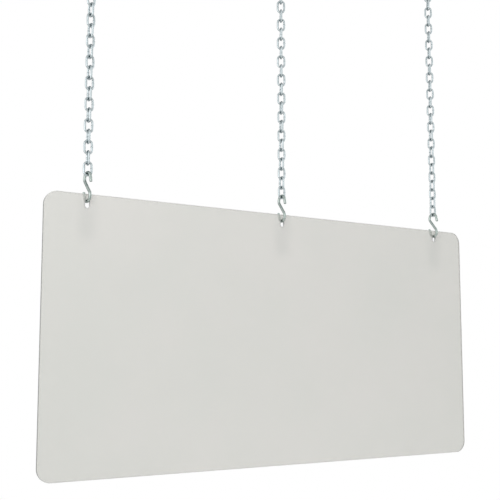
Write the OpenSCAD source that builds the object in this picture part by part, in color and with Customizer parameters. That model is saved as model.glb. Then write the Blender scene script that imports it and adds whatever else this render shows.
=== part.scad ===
// Hanging sneeze guard: a clear sheet on three chains, with S hooks below and screw hooks above.
// Origin: in the ceiling plane, on the screw of the centre hook. +Z is up, +X is to the right along
// the sheet, and the customer's side is -Y. Everything hangs below the ceiling.

/* [Sheet] */
// Width of the sheet
sheet_w = 1000; // [600:10:1600]
// Height of the sheet
sheet_h = 500; // [300:10:900]
// Thickness of the sheet
sheet_t = 4; // [2:0.5:6]
// Radius of the sheet's corners
corner_r = 25; // [5:1:60]

/* [Slots in the sheet] */
// From the side edge of the sheet to the middle of the outer slots
slot_inset = 80; // [40:1:200]
// Width of a slot
slot_w = 8.5; // [8:0.5:14]
// Height of a slot
slot_h = 15; // [14:0.5:30]
// Sheet left between a slot and the top edge
slot_bridge = 10; // [6:0.5:12]

/* [Chain] */
// Wire of the links
link_wire_d = 4; // [3:0.1:4.4]
// Clear length inside a link
link_inner_l = 20; // [18:0.5:30]
// Clear width inside a link
link_inner_w = 9.5; // [7:0.5:12]
// Weld bead on one leg of a link, its diameter
weld_d = 4.7; // [4.5:0.1:5.2]
// Links in a chain, counted in pairs
link_pairs = 14; // [8:1:16]

/* [Turn of the chains] */
// Left chain, turn of its lowest link about the vertical
left_turn_low = -11; // [-30:1:30]
// Left chain, turn of its highest link
left_turn_high = 10; // [-35:1:35]
// Centre chain, turn of its lowest link
centre_turn_low = 0; // [-30:1:30]
// Centre chain, turn of its highest link
centre_turn_high = -27; // [-35:1:35]
// Right chain, turn of its lowest link
right_turn_low = -2; // [-30:1:30]
// Right chain, turn of its highest link
right_turn_high = -31; // [-35:1:35]
// Links, counted from the lowest one up, over which a chain turns
turned_links = 13; // [6:1:20]

/* [S hook] */
// Wire of the S hooks
s_wire_d = 5.4; // [4:0.1:6.4]
// Clear width inside a bend of the S hook
s_inner_w = 15; // [14:0.5:24]
// From the centre of the upper bend down to the centre of the lower bend
s_bend_gap = 32; // [28:0.5:60]
// Straight end beyond each bend
s_tip_l = 10.5; // [3:0.5:14]
// How far the straight ends lean outwards
s_tip_splay = 13; // [0:1:20]
// Left S hook, its turn about the vertical
left_s_turn = 8; // [-10:1:10]
// Centre S hook, its turn
centre_s_turn = 0; // [-10:1:10]
// Right S hook, its turn
right_s_turn = 2; // [-10:1:10]

/* [Ceiling hook] */
// Wire of the ceiling hooks
hook_wire_d = 5; // [4:0.1:6]
// Clear width inside the bend of the ceiling hook
hook_inner_w = 17; // [16:0.5:30]
// From the ceiling down to the centre of the bend
hook_drop = 22; // [21:0.5:60]
// Radius of the small bend between the neck and the round bend
hook_neck_r = 6; // [4:0.5:8]
// How far round the bend goes past its lowest point
hook_rise = 110; // [95:1:120]
// Straight end beyond the bend
hook_tip_l = 2; // [1.5:0.5:4]
// Diameter of the collar against the ceiling
collar_d = 16; // [10:0.5:30]
// Thickness of the collar
collar_t = 2; // [1:0.1:3]
// Core diameter of the screw
screw_core_d = 4.5; // [3.5:0.1:5.5]
// Length of the screw, point included
screw_l = 30; // [20:1:60]
// Length of the screw's point
screw_point_l = 6; // [3:0.5:9]
// Diameter of the screw's point at its tip
screw_tip_d = 0.6; // [0.4:0.1:1.5]

/* [Fit] */
// Clearance between two pieces where one hangs on the other
seat_gap = 0.3; // [0.2:0.05:0.5]

/* [Hidden] */
$fn = 64;
// Where a bend meets a straight or another bend, a bead a hair proud of the wire joins the two
join_proud = 0.02;
join_gap = 0.1;
SIDES = ["left", "centre", "right"];
links = 2 * link_pairs;

// Centrelines of the bends
link_bend_r = (link_inner_w + link_wire_d) / 2;
s_bend_r = (s_inner_w + s_wire_d) / 2;
hook_bend_r = (hook_inner_w + hook_wire_d) / 2;

// Chain: what a link adds to the chain's length, and its leg between the two bends
link_leg = link_inner_l - link_inner_w;
link_long = link_inner_l + link_wire_d;
pitch = link_inner_l - seat_gap;

// Heights of the wire centres where the pieces bear on each other, from the ceiling down
saddle_z = -hook_drop - hook_bend_r;
first_crown_z = saddle_z + (hook_wire_d + link_wire_d) / 2 + seat_gap;
last_bottom_z = first_crown_z - link_long - (links - 1) * pitch;
s_crown_z = last_bottom_z + (link_wire_d + s_wire_d) / 2 + seat_gap;
s_upper_z = s_crown_z - s_bend_r;
s_lower_z = s_upper_z - s_bend_gap;

// The two edges of a slot's top bear on the inside of the lower bend, a little above its lowest point
s_inner_r = s_inner_w / 2;
slot_top_z = s_lower_z - sqrt(pow(s_inner_r, 2) - pow(sheet_t / 2, 2)) + seat_gap;
sheet_top_z = slot_top_z + slot_bridge;

// Where the chains hang, and how each is turned at its low and its high end
slot_x = sheet_w / 2 - slot_inset;
CHAIN_X = [-slot_x, 0, slot_x];
TURN_LOW = [left_turn_low, centre_turn_low, right_turn_low];
TURN_HIGH = [left_turn_high, centre_turn_high, right_turn_high];
S_TURN = [left_s_turn, centre_s_turn, right_s_turn];

// Links that share a sub-part: one, one, two by two, three, one
GROUPS = concat([[1, 1], [2, 2]],
                [for (k = [3 : 2 : links - 5]) [k, k + 1]],
                [[links - 3, links - 1], [links, links]]);

function digits(n) = n < 10 ? str("0", n) : str(n);
function group_name(side, g) =
    g[0] == g[1] ? str("chain_", side, "_link_", digits(g[0]))
                 : str("chain_", side, "_links_", digits(g[0]), "_to_", digits(g[1]));

// Turn about the vertical of link k in chain i: from the lowest link up to where the turn is full
function turn(i, k) =
    TURN_LOW[i] + (TURN_HIGH[i] - TURN_LOW[i]) * min(1, (links - k) / turned_links);

// Height of the middle of link k
function link_z(k) = first_crown_z - link_long / 2 - (k - 1) * pitch;

// Round wire bent along an arc in the XZ plane, from angle a to angle b, measured from +X towards +Z
module bend(r, wire_d, a, b) {
    rotate([90, 0, 0])
        rotate([0, 0, a])
            rotate_extrude(angle = b - a)
                translate([r, 0])
                    circle(d = wire_d);
}

// Bead that joins two stretches of wire
module join(wire_d) {
    sphere(d = wire_d + 2 * join_proud);
}

// Cut end of a wire: a straight stretch up the Z axis from a join, with its last bit bevelled
module wire_end(wire_d, l) {
    bevel = wire_d / 6;
    join(wire_d);
    translate([0, 0, join_gap])
        cylinder(d = wire_d, h = l - bevel - join_gap);
    translate([0, 0, l - bevel])
        cylinder(d1 = wire_d, d2 = wire_d - 2 * bevel, h = bevel);
}

// One link, upright in the XZ plane, with its weld bead on one leg
module link() {
    for (side = [-1, 1])
        translate([side * link_bend_r, 0, 0])
            cylinder(d = link_wire_d, h = link_leg, center = true);
    for (end = [0, 180])
        rotate([0, end, 0])
            translate([0, 0, link_leg / 2])
                bend(link_bend_r, link_wire_d, 0, 180);
    translate([link_bend_r, 0, 0])
        sphere(d = weld_d);
}

// The links of one group in their places: odd ones stand across the sheet, even ones along it
module chain_group(i, g) {
    color("silver")
        for (k = [g[0] : g[1]])
            translate([CHAIN_X[i], 0, link_z(k)])
                rotate([0, 0, turn(i, k) + (k % 2 == 1 ? 90 : 0)])
                    link();
}

// Half of an S hook about its bend: the round bend with the straight end, in the XZ plane.
// The shank meets the bend where the line between the two bends touches both.
module s_half() {
    shank_a = acos(2 * s_bend_r / s_bend_gap) - 90;
    tip_a = 180 - s_tip_splay;
    bend(s_bend_r, s_wire_d, shank_a, tip_a);
    translate([s_bend_r * cos(tip_a), 0, s_bend_r * sin(tip_a)])
        rotate([0, 180 + s_tip_splay, 0])
            wire_end(s_wire_d, s_tip_l);
}

// S hook, centred between its bends: upper end towards the customer, lower end behind the sheet
module s_hook(i) {
    half_gap = s_bend_gap / 2;
    half_shank = sqrt(pow(half_gap, 2) - pow(s_bend_r, 2));
    color("darkgray")
        translate([CHAIN_X[i], 0, (s_upper_z + s_lower_z) / 2])
            rotate([0, 0, 90 + S_TURN[i]]) {
                for (end = [0, 180])
                    rotate([0, end, 0])
                        translate([0, 0, half_gap])
                            s_half();
                rotate([0, asin(s_bend_r / half_gap), 0]) {
                    cylinder(d = s_wire_d, h = 2 * (half_shank - join_gap), center = true);
                    for (end = [-1, 1])
                        translate([0, 0, end * half_shank])
                            join(s_wire_d);
                }
            }
}

// Screw hook: screw and collar above, neck, a small bend out and the round bend below
module ceiling_hook(i) {
    neck_z = -hook_drop + sqrt(pow(hook_bend_r, 2) + 2 * hook_bend_r * hook_neck_r);
    meet_a = acos(hook_neck_r / (hook_bend_r + hook_neck_r));
    tip_a = -90 - hook_rise;
    join_turn = join_gap / hook_neck_r * 180 / PI;
    color("gray")
        translate([CHAIN_X[i], 0, 0])
            rotate([0, 0, turn(i, 1)]) {
                cylinder(d = screw_core_d, h = screw_l - screw_point_l);
                translate([0, 0, screw_l - screw_point_l])
                    cylinder(d1 = screw_core_d, d2 = screw_tip_d, h = screw_point_l);
                collar();
                translate([0, 0, neck_z + join_gap])
                    cylinder(d = hook_wire_d, h = -neck_z - join_gap);
                translate([0, 0, neck_z])
                    join(hook_wire_d);
                translate([hook_neck_r, 0, neck_z])
                    bend(hook_neck_r, hook_wire_d, 180, 180 + meet_a - join_turn);
                translate([0, 0, -hook_drop]) {
                    bend(hook_bend_r, hook_wire_d, tip_a, meet_a);
                    translate([hook_bend_r * cos(meet_a), 0, hook_bend_r * sin(meet_a)])
                        join(hook_wire_d);
                    translate([hook_bend_r * cos(tip_a), 0, hook_bend_r * sin(tip_a)])
                        rotate([0, -tip_a, 0])
                            wire_end(hook_wire_d, hook_tip_l);
                }
            }
}

// Collar: flat against the ceiling, rounded below
module collar() {
    edge = collar_t / 2;
    rotate_extrude() {
        translate([0, -collar_t])
            square([collar_d / 2 - edge, collar_t]);
        translate([0, -edge])
            square([collar_d / 2, edge]);
        translate([collar_d / 2 - edge, -edge])
            circle(r = edge);
    }
}

// Outline of the sheet, its middle at the origin
module sheet_outline() {
    square([sheet_w - 2 * corner_r, sheet_h], center = true);
    square([sheet_w, sheet_h - 2 * corner_r], center = true);
    for (x = [-1, 1], z = [-1, 1])
        translate([x * (sheet_w / 2 - corner_r), z * (sheet_h / 2 - corner_r)])
            circle(r = corner_r);
}

// Outline of a slot, its top end at the origin
module slot_outline() {
    translate([-slot_w / 2, slot_w / 2 - slot_h])
        square([slot_w, slot_h - slot_w]);
    for (y = [-slot_w / 2, slot_w / 2 - slot_h])
        translate([0, y])
            circle(d = slot_w);
}

// Clear sheet with its three slots
module panel() {
    color([0.8, 0.85, 0.85, 0.5])
        rotate([90, 0, 0])
            linear_extrude(sheet_t, center = true)
                difference() {
                    translate([0, sheet_top_z - sheet_h / 2])
                        sheet_outline();
                    for (x = CHAIN_X)
                        translate([x, slot_top_z])
                            slot_outline();
                }
}

panel();
for (i = [0 : 2]) {
    ceiling_hook(i);
    s_hook(i);
    for (g = GROUPS) chain_group(i, g);
}
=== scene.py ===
"""Hanging sneeze guard: clear sheet, three welded chains, S hooks below and screw hooks above.

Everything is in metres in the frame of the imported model: +Z up, the ceiling at zero, the customer at -Y.
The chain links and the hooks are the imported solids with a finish. Made here are the weld beads, the
threads of the ceiling screws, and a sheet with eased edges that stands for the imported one.
"""

import math

import bpy
import numpy as np
from mathutils import Matrix, Vector
from mathutils.geometry import delaunay_2d_cdt


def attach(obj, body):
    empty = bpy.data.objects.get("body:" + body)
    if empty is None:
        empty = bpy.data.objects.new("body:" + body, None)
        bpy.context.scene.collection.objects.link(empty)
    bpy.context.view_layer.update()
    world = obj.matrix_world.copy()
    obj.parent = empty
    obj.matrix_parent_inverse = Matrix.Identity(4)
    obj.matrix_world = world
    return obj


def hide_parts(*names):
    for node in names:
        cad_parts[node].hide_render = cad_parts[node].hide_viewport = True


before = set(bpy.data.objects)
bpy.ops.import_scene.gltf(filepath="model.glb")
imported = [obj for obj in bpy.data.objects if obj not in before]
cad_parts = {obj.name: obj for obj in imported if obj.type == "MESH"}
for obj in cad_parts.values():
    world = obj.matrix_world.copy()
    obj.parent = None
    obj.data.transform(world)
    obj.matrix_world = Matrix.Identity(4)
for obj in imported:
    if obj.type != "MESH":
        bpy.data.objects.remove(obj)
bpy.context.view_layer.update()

MM = 0.001

# The three chains, from left to right
SIDES = ("left", "centre", "right")
CHAIN_SPACING = 420 * MM
CHAIN_X = (-CHAIN_SPACING, 0.0, CHAIN_SPACING)

# Links: number 1 is the highest. Their turns about the vertical are in degrees, one for each chain: that
# of its lowest link, and the full one, of the links that are TURNED_LINKS or more above the lowest
LINK_WIRE_R = 2 * MM
LINK_BEND_R = 6.75 * MM
LINK_PITCH = 19.7 * MM
LINKS = 28
FIRST_LINK_Z = -40.2 * MM
FIRST_SEAT_Z = FIRST_LINK_Z - LINK_PITCH / 2
TURN_OF_LOWEST = (-11, 0, -2)
TURN_WHEN_FULL = (10, -27, -31)
TURNED_LINKS = 13

# Sheet
SHEET_W = 1000 * MM
SHEET_H = 500 * MM
SHEET_T = 4 * MM
SHEET_TOP_Z = -618.2284 * MM
SHEET_LOW_Z = SHEET_TOP_Z - SHEET_H
CORNER_R = 25 * MM
SLOT_R = 4.25 * MM
SLOT_H = 15 * MM
SLOT_DOWN = 10 * MM
SLOT_TOP_Z = SHEET_TOP_Z - SLOT_DOWN
SLOT_LOW_Z = SLOT_TOP_Z - SLOT_H

# Screw of a ceiling hook
SCREW_CORE_R = 2.25 * MM
SCREW_TIP_R = 0.3 * MM
SCREW_L = 30 * MM
SCREW_POINT_L = 6 * MM


# Meshes

def mesh_object(name, points, faces, flat_from=None):
    """A mesh object of whole arrays of points and faces. Faces from flat_from on are shaded flat."""
    mesh = bpy.data.meshes.new(name)
    mesh.from_pydata(points.tolist(), [], faces)
    smooth = np.ones(len(mesh.polygons), dtype=bool)
    if flat_from is not None:
        smooth[flat_from:] = False
    mesh.polygons.foreach_set("use_smooth", smooth)
    mesh.update()
    piece = bpy.data.objects.new(name, mesh)
    bpy.context.scene.collection.objects.link(piece)
    return piece


def ring_faces(rows, columns, close_rows=False, first=0):
    """Quads of a grid of rows by columns that closes along its columns, and along its rows if asked."""
    r = np.arange(rows if close_rows else rows - 1)
    c = np.arange(columns)
    r, c = np.meshgrid(r, c, indexing="ij")
    next_r, next_c = (r + 1) % rows, (c + 1) % columns
    corners = [r * columns + c, next_r * columns + c, next_r * columns + next_c, r * columns + next_c]
    return (np.stack(corners, -1).reshape(-1, 4) + first).tolist()


def turn_about_z(points, degrees):
    """Points turned about the vertical."""
    a = math.radians(degrees)
    x = points[..., 0] * math.cos(a) - points[..., 1] * math.sin(a)
    y = points[..., 0] * math.sin(a) + points[..., 1] * math.cos(a)
    return np.stack([x, y, points[..., 2]], -1)


# Chain: weld beads

BEAD_AROUND = 28
BEAD_ALONG = 17
BEAD_HALF_L = 2.5 * MM
BEAD_RISE = 0.37 * MM
BEAD_WIDTH = 1.15 * MM
BEAD_SINK = 0.004 * MM
BEAD_INNER_R = 1.5 * MM
FLASH_RISE = 0.13 * MM
FLASH_WIDTH = 0.26 * MM
FLASH_UNEVEN = (0.35, 0.25)
FLASH_WANDER = (0.22 * MM, 0.1 * MM)
PHASE_OF_LINK = 2.399
PHASE_OF_CHAIN = 1.7


def link_turn(chain, k):
    """Turn of link k about the vertical. Every other link stands crosswise."""
    low, full = TURN_OF_LOWEST[chain], TURN_WHEN_FULL[chain]
    crosswise = 90 if k % 2 else 0
    return crosswise + low + (full - low) * min(1, (LINKS - k) / TURNED_LINKS)


def weld_bead(chain, k):
    """Weld bead of link k, a ring about the leg that carries the weld.

    Radius = wire radius + a bell curve of the place along the leg + a narrow flash ring in the
    middle, whose height and place wander with the angle. The section closes inside the wire.
    """
    phase = PHASE_OF_LINK * k + PHASE_OF_CHAIN * chain
    around = np.linspace(0, 2 * np.pi, BEAD_AROUND, endpoint=False)
    along = BEAD_HALF_L * np.sin(np.linspace(-np.pi / 2, np.pi / 2, BEAD_ALONG))
    t, s = np.meshgrid(around, along, indexing="ij")
    place = FLASH_WANDER[0] * np.sin(t + phase) + FLASH_WANDER[1] * np.sin(3 * t - 2 * phase)
    uneven = FLASH_UNEVEN[0] * np.sin(4 * t + phase) + FLASH_UNEVEN[1] * np.sin(7 * t - phase)
    flash = FLASH_RISE * (1 + uneven) * np.exp(-(((s - place) / FLASH_WIDTH) ** 2))
    bead = BEAD_RISE * np.exp(-((s / BEAD_WIDTH) ** 2))
    outside = LINK_WIRE_R - BEAD_SINK + bead + flash
    inside = np.full((BEAD_AROUND, 2), BEAD_INNER_R)
    ends = np.broadcast_to([along[-1], along[0]], inside.shape)
    radius = np.concatenate([outside, inside], 1)
    s = np.concatenate([s, ends], 1)
    t = np.repeat(t[:, :1], BEAD_ALONG + 2, 1)
    ring = np.stack([LINK_BEND_R + radius * np.cos(t), radius * np.sin(t), s], -1).reshape(-1, 3)
    middle = [CHAIN_X[chain], 0, FIRST_LINK_Z - (k - 1) * LINK_PITCH]
    return turn_about_z(ring, link_turn(chain, k)) + middle


def chain_bodies(side):
    """Body name and links of each stretch of a chain."""
    groups = [(1, 1), (2, 2)] + [(k, k + 1) for k in range(3, 24, 2)] + [(25, 27), (28, 28)]
    for a, b in groups:
        name = f"chain_{side}_link_{a:02d}" if a == b else f"chain_{side}_links_{a:02d}_to_{b:02d}"
        yield name, range(a, b + 1)


def weld_beads(chain, side):
    """The weld beads of one chain, one piece for each stretch."""
    pieces = []
    for body, numbers in chain_bodies(side):
        rings = [weld_bead(chain, k) for k in numbers]
        faces = []
        for i, ring in enumerate(rings):
            faces += ring_faces(BEAD_AROUND, BEAD_ALONG + 2, close_rows=True, first=i * len(ring))
        piece = mesh_object(body.replace("chain", "welds"), np.concatenate(rings), faces)
        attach(piece, body)
        pieces.append(piece)
    return pieces


# Ceiling hooks: screw threads. The run-in and the run-out are in turns

THREAD_PITCH = 2.5 * MM
THREAD_DEPTH = 0.85 * MM
THREAD_BASE = 1.3 * MM
THREAD_LAND = 0.18 * MM
THREAD_ROOT = 0.15 * MM
THREAD_START_Z = 5.5 * MM
THREAD_TURNS = 9.3
THREAD_STEPS_PER_TURN = 40
THREAD_RUN_IN = 0.8
THREAD_RUN_OUT = 1.2
THREAD_DEPTH_AT_TIP = 0.45
THREAD_WIDTH_AT_ENDS = 0.25

# The thread's section, corner by corner from below: out of the core as shares of the depth, up as shares
# of the base, and 1 for the two corners of the root, which lie inside the core
SECTION_OUT = np.array([0.0, 0.0, 1.0, 1.0, 0.0, 0.0])
SECTION_UP = np.array([-0.62, -0.5, -0.07, 0.07, 0.5, 0.62])
SECTION_ROOT = np.array([1.0, 0.0, 0.0, 0.0, 0.0, 1.0])


def screw_thread(chain, side):
    """Thread of a ceiling hook: a wedge section carried up a helix on the screw's core.

    Height of the wedge = full depth, less at both ends of the helix and towards the tip. The core
    narrows to the point, and the helix keeps to its surface.
    """
    steps = int(THREAD_TURNS * THREAD_STEPS_PER_TURN) + 1
    t = np.linspace(0, THREAD_TURNS, steps)[:, None]
    z = THREAD_START_Z + t * THREAD_PITCH
    taper = np.clip((SCREW_L - z) / SCREW_POINT_L, 0, 1)
    core = SCREW_TIP_R + (SCREW_CORE_R - SCREW_TIP_R) * taper
    grow = np.clip(t / THREAD_RUN_IN, 0, 1) * np.clip((THREAD_TURNS - t) / THREAD_RUN_OUT, 0, 1)
    depth_share = THREAD_DEPTH_AT_TIP + (1 - THREAD_DEPTH_AT_TIP) * taper
    width_share = THREAD_WIDTH_AT_ENDS + (1 - THREAD_WIDTH_AT_ENDS) * grow
    depth = THREAD_DEPTH * np.sin(grow * np.pi / 2) * depth_share
    wedge = THREAD_BASE * SECTION_UP + THREAD_LAND * np.sign(SECTION_UP) * SECTION_OUT
    radius = core + depth * SECTION_OUT - THREAD_ROOT * SECTION_ROOT
    height = z + wedge * width_share
    angle = 2 * np.pi * t
    points = np.stack([radius * np.cos(angle), radius * np.sin(angle), height], -1).reshape(-1, 3)
    corners = len(SECTION_OUT)
    last = (steps - 1) * corners
    caps = [list(range(corners)), [last + i for i in reversed(range(corners))]]
    faces = ring_faces(steps, corners) + caps
    piece = mesh_object(f"screw_thread_{side}", points + [CHAIN_X[chain], 0, 0], faces)
    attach(piece, "ceiling_hooks")
    return piece


# Sheet

ARRIS = 0.35 * MM
ARRIS_STEPS = 5
CORNER_STEPS = 24
SAME_POINT = 0.001 * MM


def rounded_loop(centres, radius, inset):
    """A loop of quarter arcs about its corner centres, moved inwards by inset.

    Point = centre + (radius - inset) times the arc's direction. Each corner is one quarter turn on
    from the last. Where two corners share a centre, their common point is kept once.
    """
    quarter = np.linspace(0, np.pi / 2, CORNER_STEPS)
    a = (quarter[None, :] + np.arange(len(centres))[:, None] * np.pi / 2).reshape(-1)
    c = np.repeat(np.array(centres), CORNER_STEPS, 0)
    loop = c + (radius - inset) * np.stack([np.cos(a), np.sin(a)], -1)
    step = np.linalg.norm(loop - np.roll(loop, 1, 0), axis=1)
    return loop[step > SAME_POINT]


def edge_section():
    """Section across the sheet's edge, front to back: a quarter round, the flat edge, a quarter round."""
    a = np.linspace(0, np.pi / 2, ARRIS_STEPS)
    inset = ARRIS * (1 - np.sin(a))
    y = -SHEET_T / 2 + ARRIS * (1 - np.cos(a))
    return np.concatenate([inset, inset[::-1]]), np.concatenate([y, -y[::-1]])


def flat_triangles(points, loops):
    """Delaunay triangles between the first loop and the others, which are holes, in a plane of equal y.

    The triangles with all their corners on one hole fill it, so they are left out.
    """
    order = np.concatenate(loops)
    loop_of = np.repeat(np.arange(len(loops)), [len(loop) for loop in loops])
    edges, first = [], 0
    for loop in loops:
        n = len(loop)
        edges += [(first + i, first + (i + 1) % n) for i in range(n)]
        first += n
    flat = [Vector((points[i, 0], points[i, 2])) for i in order]
    made = delaunay_2d_cdt(flat, edges, [], 0, SAME_POINT / 100)
    triangles, sources = made[2], made[3]
    for corners in triangles:
        own = np.array([sources[i][0] for i in corners])
        if loop_of[own].min() == 0 or len(set(loop_of[own])) > 1:
            yield order[own].tolist()


def facing(points, triangle, front):
    """The triangle's corners in the order that turns it to the front, or else to the back."""
    a, b, c = triangle
    ab, ac = points[b] - points[a], points[c] - points[a]
    faces_front = ab[0] * ac[2] - ab[2] * ac[0] > 0
    return [a, b, c] if faces_front == front else [a, c, b]


def clear_sheet(face_finish, edge_finish):
    """The sheet with its three slots: the edge section carried round the outline and round each slot,
    and the two flat faces filled in between."""
    right, up, down = SHEET_W / 2 - CORNER_R, SHEET_TOP_Z - CORNER_R, SHEET_LOW_Z + CORNER_R
    outline = [(right, up), (-right, up), (-right, down), (right, down)]
    slot_up, slot_down = SLOT_TOP_Z - SLOT_R, SLOT_LOW_Z + SLOT_R
    slots = [[(x, slot_up), (x, slot_up), (x, slot_down), (x, slot_down)] for x in CHAIN_X]
    inset, depth = edge_section()
    points, faces, fronts, backs = [], [], [], []
    count = 0
    for centres, radius, sign in [(outline, CORNER_R, 1)] + [(s, SLOT_R, -1) for s in slots]:
        loops = np.stack([rounded_loop(centres, radius, sign * d) for d in inset])
        rows, columns = loops.shape[:2]
        y = np.repeat(depth[:, None], columns, 1)
        rim = np.stack([loops[..., 0], y, loops[..., 1]], -1).reshape(-1, 3)
        quads = np.array(ring_faces(rows, columns, first=count))
        faces += (quads[:, ::-1] if sign < 0 else quads).tolist()
        fronts.append(np.arange(count, count + columns))
        backs.append(np.arange(count + (rows - 1) * columns, count + rows * columns))
        points.append(rim)
        count += len(rim)
    points = np.concatenate(points)
    edge_faces = len(faces)
    for loops, front in ((fronts, True), (backs, False)):
        faces += [facing(points, triangle, front) for triangle in flat_triangles(points, loops)]
    piece = mesh_object("clear_sheet", points, faces, flat_from=edge_faces)
    on_edge = np.zeros(len(faces), dtype=np.int32)
    on_edge[:edge_faces] = 1
    piece.data.materials.append(face_finish)
    piece.data.materials.append(edge_finish)
    piece.data.polygons.foreach_set("material_index", on_edge)
    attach(piece, "panel")
    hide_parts("panel")


# Nodes for the finishes

FLOAT, COLOUR, VECTOR = "NodeSocketFloat", "NodeSocketColor", "NodeSocketVector"

# Sockets of a Mix node that mixes colours: its factor, its two colours and its result
MIX_FACTOR, MIX_A, MIX_B, MIX_RESULT = 0, 6, 7, 2


def new_material(name):
    """An empty node material with its shader and output."""
    material = bpy.data.materials.new(name)
    material.use_nodes = True
    tree = material.node_tree
    tree.nodes.clear()
    out = tree.nodes.new("ShaderNodeOutputMaterial")
    shader = tree.nodes.new("ShaderNodeBsdfPrincipled")
    tree.links.new(shader.outputs["BSDF"], out.inputs["Surface"])
    return material, tree, shader


class Group:
    """A shader node group with named inputs and outputs of a given kind."""

    def __init__(self, name, inputs, outputs):
        self.tree = bpy.data.node_groups.new(name, "ShaderNodeTree")
        for direction, sockets in (("INPUT", inputs), ("OUTPUT", outputs)):
            for socket, kind in sockets.items():
                self.tree.interface.new_socket(socket, in_out=direction, socket_type=kind)
        self.ins = self.tree.nodes.new("NodeGroupInput").outputs
        self.outs = self.tree.nodes.new("NodeGroupOutput").inputs

    def place(self, tree, **values):
        """Places the group in a material with its own values, each joined or set, and gives its outputs."""
        node = tree.nodes.new("ShaderNodeGroup")
        node.node_tree = self.tree
        for socket, value in values.items():
            feed(tree, value, node.inputs[socket.replace("_", " ")])
        return node.outputs


def feed(tree, value, socket):
    """Joins a socket or sets a value."""
    if isinstance(value, bpy.types.NodeSocket):
        tree.links.new(value, socket)
    elif value is not None:
        socket.default_value = value


def calc(tree, operation, a, b=None, c=None, clamp=False):
    """A math node on sockets or numbers."""
    node = tree.nodes.new("ShaderNodeMath")
    node.operation = operation
    node.use_clamp = clamp
    for socket, value in zip(node.inputs, (a, b, c)):
        feed(tree, value, socket)
    return node.outputs[0]


def squares(tree, a, b):
    """The sum of the squares of a and b."""
    return calc(tree, "ADD", calc(tree, "POWER", a, 2.0), calc(tree, "POWER", b, 2.0))


def distance(tree, a, b):
    """The root of the sum of the squares of a and b."""
    return calc(tree, "SQRT", squares(tree, a, b))


def ramp(tree, value, low, high, to_low=0.0, to_high=1.0):
    """Smooth step of value from low to high."""
    node = tree.nodes.new("ShaderNodeMapRange")
    node.interpolation_type = "SMOOTHSTEP"
    for socket, v in zip(node.inputs, (value, low, high, to_low, to_high)):
        feed(tree, v, socket)
    return node.outputs[0]


def blend_colours(tree, factor, a, b):
    """Colour a to colour b by factor."""
    node = tree.nodes.new("ShaderNodeMix")
    node.data_type = "RGBA"
    feed(tree, factor, node.inputs[MIX_FACTOR])
    feed(tree, a, node.inputs[MIX_A])
    feed(tree, b, node.inputs[MIX_B])
    return node.outputs[MIX_RESULT]


def noise(tree, where, scale, detail=3, rough=0.5):
    """Noise on coordinates in metres."""
    node = tree.nodes.new("ShaderNodeTexNoise")
    for socket, v in (("Vector", where), ("Scale", scale), ("Detail", detail), ("Roughness", rough)):
        feed(tree, v, node.inputs[socket])
    return node.outputs["Fac"]


def split(tree, vector):
    """The three parts of a vector."""
    node = tree.nodes.new("ShaderNodeSeparateXYZ")
    feed(tree, vector, node.inputs[0])
    return node.outputs[:3]


def from_chain(tree, x):
    """How far x lies to the right or left of the nearest chain's."""
    return calc(tree, "WRAP", x, CHAIN_SPACING / 2, -CHAIN_SPACING / 2)


def bump(tree, height, shader, strength, depth):
    """A bump in the shader's normal, where a height of 1 stands for depth in metres."""
    node = tree.nodes.new("ShaderNodeBump")
    node.inputs["Strength"].default_value = strength
    node.inputs["Distance"].default_value = depth
    feed(tree, height, node.inputs["Height"])
    tree.links.new(node.outputs["Normal"], shader.inputs["Normal"])


def object_place(tree):
    """Object coordinates."""
    return tree.nodes.new("ShaderNodeTexCoord").outputs["Object"]


def seen(tree):
    """1 for the rays of the camera, of gloss and of the clear sheet, 0 for those that only carry light."""
    path = tree.nodes.new("ShaderNodeLightPath")
    gloss, clear = path.outputs["Is Glossy Ray"], path.outputs["Is Transmission Ray"]
    return calc(tree, "MAXIMUM", path.outputs["Is Camera Ray"], calc(tree, "MAXIMUM", gloss, clear))


# Node groups of the zinc and the sheet

SPECK_GREY = (0.25, 0.28, 0.28, 1)


def plating_group():
    """Zinc plating: cloudy change of tone, fine crystal grain and small dull specks."""
    inputs = {
        "Vector": VECTOR, "Bright": COLOUR, "Dull": COLOUR, "Cloud Scale": FLOAT, "Grain Scale": FLOAT,
        "Speck Amount": FLOAT, "Roughness Low": FLOAT, "Roughness High": FLOAT,
    }
    group = Group("zinc_plating", inputs, {"Color": COLOUR, "Roughness": FLOAT, "Height": FLOAT})
    tree, ins, outs = group.tree, group.ins, group.outs
    where = ins["Vector"]
    cloud = ramp(tree, noise(tree, where, ins["Cloud Scale"], rough=0.6), low=0.32, high=0.68)
    grain = noise(tree, where, ins["Grain Scale"], detail=2, rough=0.6)
    speck_scale = calc(tree, "MULTIPLY", ins["Grain Scale"], 0.35)
    specks = ramp(tree, noise(tree, where, speck_scale, detail=1, rough=0.4), low=0.62, high=0.75)
    speck = calc(tree, "MULTIPLY", specks, ins["Speck Amount"])
    dull = calc(tree, "MULTIPLY_ADD", cloud, 0.7, calc(tree, "MULTIPLY", grain, 0.3))
    zinc = blend_colours(tree, dull, ins["Bright"], ins["Dull"])
    tree.links.new(blend_colours(tree, speck, zinc, SPECK_GREY), outs["Color"])
    spread = calc(tree, "SUBTRACT", ins["Roughness High"], ins["Roughness Low"])
    rough = calc(tree, "ADD", dull, speck, clamp=True)
    tree.links.new(calc(tree, "MULTIPLY_ADD", rough, spread, ins["Roughness Low"]), outs["Roughness"])
    tree.links.new(calc(tree, "SUBTRACT", grain, calc(tree, "MULTIPLY", speck, 0.6)), outs["Height"])
    return group


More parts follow.
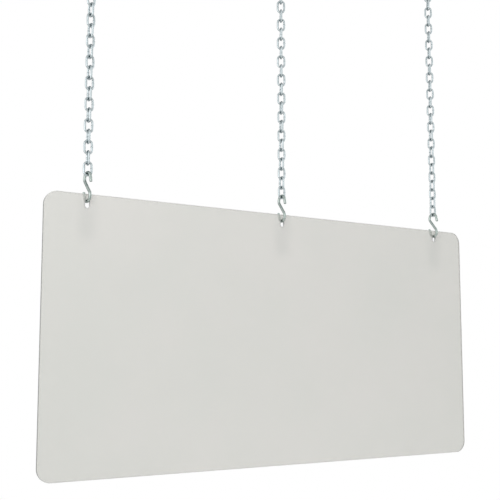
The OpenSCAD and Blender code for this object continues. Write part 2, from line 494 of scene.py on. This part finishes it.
def seat_shade_group():
    """Painted shade and rub marks where wires bear, one pitch apart on each chain: 1 at the seats, 0
    elsewhere.
    """
    inputs = {
        "Vector": VECTOR, "First Seat": FLOAT, "Seat Pitch": FLOAT, "Half Height": FLOAT, "Reach": FLOAT,
    }
    group = Group("seat_shade_and_rub_marks", inputs, {"Mask": FLOAT})
    tree, ins = group.tree, group.ins
    x, y, z = split(tree, ins["Vector"])
    half_pitch = calc(tree, "MULTIPLY", ins["Seat Pitch"], 0.5)
    height = calc(tree, "SUBTRACT", z, ins["First Seat"])
    from_seat = calc(tree, "WRAP", height, half_pitch, calc(tree, "MULTIPLY", half_pitch, -1))
    up = calc(tree, "DIVIDE", from_seat, ins["Half Height"])
    out = calc(tree, "DIVIDE", distance(tree, from_chain(tree, x), y), ins["Reach"])
    mask = ramp(tree, squares(tree, up, out), low=0.4, high=1.6, to_low=1.0, to_high=0.0)
    tree.links.new(mask, group.outs["Mask"])
    return group


def painted_shadow_group():
    """Painted shadow below each hook, soft and upright: 1 in its middle, 0 at its reach beyond half its
    length.
    """
    inputs = {"Vector": VECTOR, "Middle": FLOAT, "Half Length": FLOAT, "Reach": FLOAT}
    group = Group("painted_hook_shadow", inputs, {"Mask": FLOAT})
    tree, ins = group.tree, group.ins
    x, _, z = split(tree, ins["Vector"])
    from_middle = calc(tree, "ABSOLUTE", calc(tree, "SUBTRACT", z, ins["Middle"]))
    past_end = calc(tree, "MAXIMUM", calc(tree, "SUBTRACT", from_middle, ins["Half Length"]), 0.0)
    far = calc(tree, "DIVIDE", distance(tree, from_chain(tree, x), past_end), ins["Reach"])
    mask = ramp(tree, far, low=0.0, high=1.0, to_low=1.0, to_high=0.0)
    tree.links.new(mask, group.outs["Mask"])
    return group


PLATING = plating_group()
SEAT_SHADE_AND_RUB = seat_shade_group()
PAINTED_HOOK_SHADOW = painted_shadow_group()


# Finishes

GRAIN_SCALE = 2600
SEAT_HALF_H = 2.6 * MM
SEAT_REACH = 3.4 * MM

SHEET_IOR = 1.49
SHEET_WARM = (0.668, 0.661, 0.634, 1)
SHEET_GREEN = (0.648, 0.651, 0.620, 1)
# Painted shadow below each hook on the sheet: its grey, its strength, and its place and size
PAINTED_SHADOW_GREY = (0.575, 0.575, 0.555, 1)
PAINTED_SHADOW_STRENGTH = 0.5
PAINTED_SHADOW_BELOW_SLOT = 22 * MM
PAINTED_SHADOW_HALF_L = 20 * MM
PAINTED_SHADOW_REACH = 32 * MM
EDGE_PALE = (0.46, 0.47, 0.46, 1)
EDGE_GREY = (0.36, 0.37, 0.36, 1)
# Painted shade at the sheet's upright ends
EDGE_END_SHADE = (0.18, 0.185, 0.18, 1)


def plated_steel(name, bright, dull, edge, roughness, seats=None, cloud=120, specks=0.5):
    """Plated wire: the plating's tones and grain, and edge as its tint at grazing angles. Roughness is
    the lowest and the highest. Seats is the colour of painted shade and rubbing where wires bear on each
    other."""
    material, tree, shader = new_material(name)
    where = object_place(tree)
    plating = PLATING.place(
        tree, Vector=where, Bright=bright, Dull=dull, Cloud_Scale=cloud, Grain_Scale=GRAIN_SCALE,
        Speck_Amount=specks, Roughness_Low=roughness[0], Roughness_High=roughness[1])
    colour = plating["Color"]
    if seats:
        # Painted shade and rub marks: the colour darkens towards the seats colour where wires bear on each
        # other
        marks = SEAT_SHADE_AND_RUB.place(
            tree, Vector=where, First_Seat=FIRST_SEAT_Z, Seat_Pitch=LINK_PITCH,
            Half_Height=SEAT_HALF_H, Reach=SEAT_REACH)
        ragged = ramp(tree, noise(tree, where, scale=700, detail=2), low=0.3, high=0.6, to_low=0.55)
        colour = blend_colours(tree, calc(tree, "MULTIPLY", marks["Mask"], ragged), colour, seats)
    shader.inputs["Metallic"].default_value = 1.0
    shader.inputs["Specular Tint"].default_value = edge
    tree.links.new(colour, shader.inputs["Base Color"])
    tree.links.new(plating["Roughness"], shader.inputs["Roughness"])
    bump(tree, plating["Height"], shader, strength=0.25, depth=0.06 * MM)
    return material


def sheet_face():
    """The sheet's faces: a grey cast that changes slowly, a soft painted shadow below each hook and faint
    dust.
    """
    material, tree, shader = new_material("clear_sheet_face")
    where = object_place(tree)
    cloud = ramp(tree, noise(tree, where, scale=3.5, rough=0.55), low=0.3, high=0.7)
    cast = blend_colours(tree, cloud, SHEET_WARM, SHEET_GREEN)
    # Painted shadow: the colour turns to a darker grey in a soft upright patch below each hook's slot
    shade = PAINTED_HOOK_SHADOW.place(
        tree, Vector=where, Middle=SLOT_LOW_Z - PAINTED_SHADOW_BELOW_SLOT, Half_Length=PAINTED_SHADOW_HALF_L,
        Reach=PAINTED_SHADOW_REACH)
    depth = calc(tree, "MULTIPLY", shade["Mask"], PAINTED_SHADOW_STRENGTH)
    tree.links.new(blend_colours(tree, depth, cast, PAINTED_SHADOW_GREY), shader.inputs["Base Color"])
    dust = noise(tree, where, scale=900, detail=2)
    roughness = ramp(tree, dust, low=0.55, high=0.75, to_low=0.03, to_high=0.045)
    tree.links.new(roughness, shader.inputs["Roughness"])
    shader.inputs["IOR"].default_value = SHEET_IOR
    shader.inputs["Transmission Weight"].default_value = 0.75
    return material


def sheet_edge():
    """Sawn and eased edge of the sheet, with fine saw marks across it. Painted shade makes it darker at the
    upright ends, behind which the sheet is deepest."""
    material, tree, shader = new_material("clear_sheet_edge")
    where = object_place(tree)
    marks = noise(tree, where, scale=1800, detail=2, rough=0.6)
    tone = blend_colours(tree, ramp(tree, marks, low=0.3, high=0.7), EDGE_PALE, EDGE_GREY)
    x, _, _ = split(tree, where)
    # Painted shade: the edge turns darker towards each upright end
    end_shade = ramp(tree, calc(tree, "ABSOLUTE", x), low=(SHEET_W - CORNER_R) / 2, high=SHEET_W / 2)
    tree.links.new(blend_colours(tree, end_shade, tone, EDGE_END_SHADE), shader.inputs["Base Color"])
    roughness = ramp(tree, marks, low=0.3, high=0.7, to_low=0.22, to_high=0.4)
    tree.links.new(roughness, shader.inputs["Roughness"])
    shader.inputs["IOR"].default_value = SHEET_IOR
    shader.inputs["Transmission Weight"].default_value = 0.3
    bump(tree, marks, shader, strength=0.3, depth=0.08 * MM)
    return material


def paint(pieces, material):
    """Gives every piece that material in all its slots."""
    for piece in pieces:
        if not piece.material_slots:
            piece.data.materials.append(material)
        for place in piece.material_slots:
            place.material = material


def dress_steel():
    """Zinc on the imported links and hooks, and the weld beads and screw threads with theirs."""
    # The seats colours are painted shade and rub marks where wires bear on each other
    chain_zinc = plated_steel(
        "bright_zinc_chain", bright=(0.52, 0.57, 0.59, 1), dull=(0.40, 0.45, 0.46, 1),
        edge=(0.08, 0.12, 0.13, 1), roughness=(0.2, 0.34), seats=(0.34, 0.39, 0.40, 1))
    weld_zinc = plated_steel(
        "bright_zinc_weld", bright=(0.50, 0.55, 0.57, 1), dull=(0.38, 0.43, 0.44, 1),
        edge=(0.08, 0.12, 0.13, 1), roughness=(0.24, 0.4), cloud=500, specks=0.6)
    hook_zinc = plated_steel(
        "zinc_hook_wire", bright=(0.41, 0.46, 0.44, 1), dull=(0.31, 0.36, 0.34, 1),
        edge=(0.07, 0.11, 0.10, 1), roughness=(0.2, 0.34), seats=(0.27, 0.32, 0.31, 1))
    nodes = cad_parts
    paint([nodes[n] for n in nodes if n.startswith("chain_")], chain_zinc)
    paint([nodes[n] for n in nodes if "hook" in n], hook_zinc)
    for chain, side in enumerate(SIDES):
        paint(weld_beads(chain, side), weld_zinc)
        paint([screw_thread(chain, side)], hook_zinc)


def dress_sheet():
    """The sheet in its two finishes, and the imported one, which it hides, in that of the faces."""
    face_finish = sheet_face()
    edge_finish = sheet_edge()
    clear_sheet(face_finish, edge_finish)
    paint([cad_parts["panel"]], face_finish)


# Room: a pale floor that turns to plain white away from the object

FLOOR_Z = -2.4
FLOOR_HALF = 14.0
FLOOR_LINES = 9
FLOOR_PALE_TO = 2.0
FLOOR_WHITE_FROM = 6.0
FLOOR_TONES = (0.86, 0.86, 0.85, 1), (0.9, 0.9, 0.89, 1)
ROOM_LIGHT = 0.6


def floor_material():
    """Pale floor near the object, and plain white further out for the camera, gloss and clear sheet."""
    material, tree, shader = new_material("pale_floor")
    where = object_place(tree)
    x, y, _ = split(tree, where)
    far = ramp(tree, distance(tree, x, y), low=FLOOR_PALE_TO, high=FLOOR_WHITE_FROM)
    grain = ramp(tree, noise(tree, where, scale=30), low=0.3, high=0.7)
    tree.links.new(blend_colours(tree, grain, *FLOOR_TONES), shader.inputs["Base Color"])
    shader.inputs["Roughness"].default_value = 0.9
    white = tree.nodes.new("ShaderNodeEmission")
    mix = tree.nodes.new("ShaderNodeMixShader")
    tree.links.new(calc(tree, "MULTIPLY", far, seen(tree)), mix.inputs[0])
    tree.links.new(shader.outputs[0], mix.inputs[1])
    tree.links.new(white.outputs[0], mix.inputs[2])
    tree.links.new(mix.outputs[0], tree.nodes["Material Output"].inputs["Surface"])
    return material


def floor():
    """Flat floor: a square grid of x and y at one height."""
    u = np.linspace(-FLOOR_HALF, FLOOR_HALF, FLOOR_LINES)
    x, y = np.meshgrid(u, u, indexing="ij")
    points = np.stack([x, y, np.full_like(x, FLOOR_Z)], -1).reshape(-1, 3)
    r, c = np.meshgrid(np.arange(FLOOR_LINES - 1), np.arange(FLOOR_LINES - 1), indexing="ij")
    first = r * FLOOR_LINES + c
    quads = np.stack([first, first + FLOOR_LINES, first + FLOOR_LINES + 1, first + 1], -1).reshape(-1, 4)
    piece = mesh_object("floor", points, quads.tolist(), flat_from=0)
    paint([piece], floor_material())


def white_world():
    """White room: plain white for the camera, gloss and clear sheet, soft light for the rest."""
    world = bpy.data.worlds.new("white_room")
    bpy.context.scene.world = world
    world.use_nodes = True
    tree = world.node_tree
    tree.nodes.clear()
    out = tree.nodes.new("ShaderNodeOutputWorld")
    background = tree.nodes.new("ShaderNodeBackground")
    background.inputs["Color"].default_value = (1, 1, 1, 1)
    strength = ramp(tree, seen(tree), low=0.0, high=1.0, to_low=ROOM_LIGHT)
    tree.links.new(strength, background.inputs["Strength"])
    tree.links.new(background.outputs[0], out.inputs["Surface"])


def looking(place, aim):
    """Matrix of something at place whose -Z looks at aim, upright."""
    place, aim = np.array(place, float), np.array(aim, float)
    back = (place - aim) / np.linalg.norm(place - aim)
    right = np.cross([0, 0, 1], back)
    right /= np.linalg.norm(right)
    up = np.cross(back, right)
    m = np.eye(4)
    m[:3, 0], m[:3, 1], m[:3, 2], m[:3, 3] = right, up, back, place
    return Matrix(m.tolist())


def lamp(name, place, aim, size, power, glints=False):
    """Soft square lamp that looks at a point. Without glints it isn't mirrored in the metal."""
    data = bpy.data.lights.new(name, "AREA")
    data.energy = power
    data.size = size
    light = bpy.data.objects.new(name, data)
    bpy.context.scene.collection.objects.link(light)
    light.matrix_world = looking(place, aim)
    light.visible_transmission = False
    light.visible_glossy = glints


def lamps():
    """Two wide softboxes that show in the metal, and four lamps that only light the object."""
    lamp("left_softbox", (-3.0, -0.7, -0.3), aim=(0, 0, -0.6), size=2.8, power=40, glints=True)
    lamp("right_softbox", (3.0, -0.5, 0.1), aim=(0, 0, -0.6), size=2.6, power=30, glints=True)
    lamp("top_lamp", (-0.1, -0.9, 1.3), aim=(0, 0, -0.8), size=0.7, power=36)
    lamp("back_lamp", (-0.6, 1.6, 1.6), aim=(0, 0, -0.8), size=1.4, power=38)
    lamp("near_lamp", (-1.15, -0.8, 0.05), aim=(-0.4, 0, -0.8), size=0.7, power=15.2)
    lamp("low_lamp", (0.1, -0.7, -1.9), aim=(0, 0, -1.0), size=0.7, power=5.9)


# Camera: its lens and sensor are in millimetres, as Blender takes them, and its shift is in frame widths

CAMERA_PLACE = (-1.0031, -1.463, -0.9126)
CAMERA_HEADING = (0.5323, 0.8390, 0.1131)
CAMERA_LENS = 63.47
CAMERA_SENSOR = 36
CAMERA_SHIFT = (-0.0014, 0.02)


def camera():
    """The photograph's view: from low on the left, a little upwards."""
    data = bpy.data.cameras.new("photo_view")
    data.lens = CAMERA_LENS
    data.sensor_width = CAMERA_SENSOR
    data.shift_x, data.shift_y = CAMERA_SHIFT
    view = bpy.data.objects.new("photo_view", data)
    bpy.context.scene.collection.objects.link(view)
    view.matrix_world = looking(CAMERA_PLACE, np.add(CAMERA_PLACE, CAMERA_HEADING))
    bpy.context.scene.camera = view


dress_steel()
dress_sheet()
floor()
white_world()
lamps()
camera()

scene = bpy.context.scene
scene.view_settings.view_transform = "Standard"
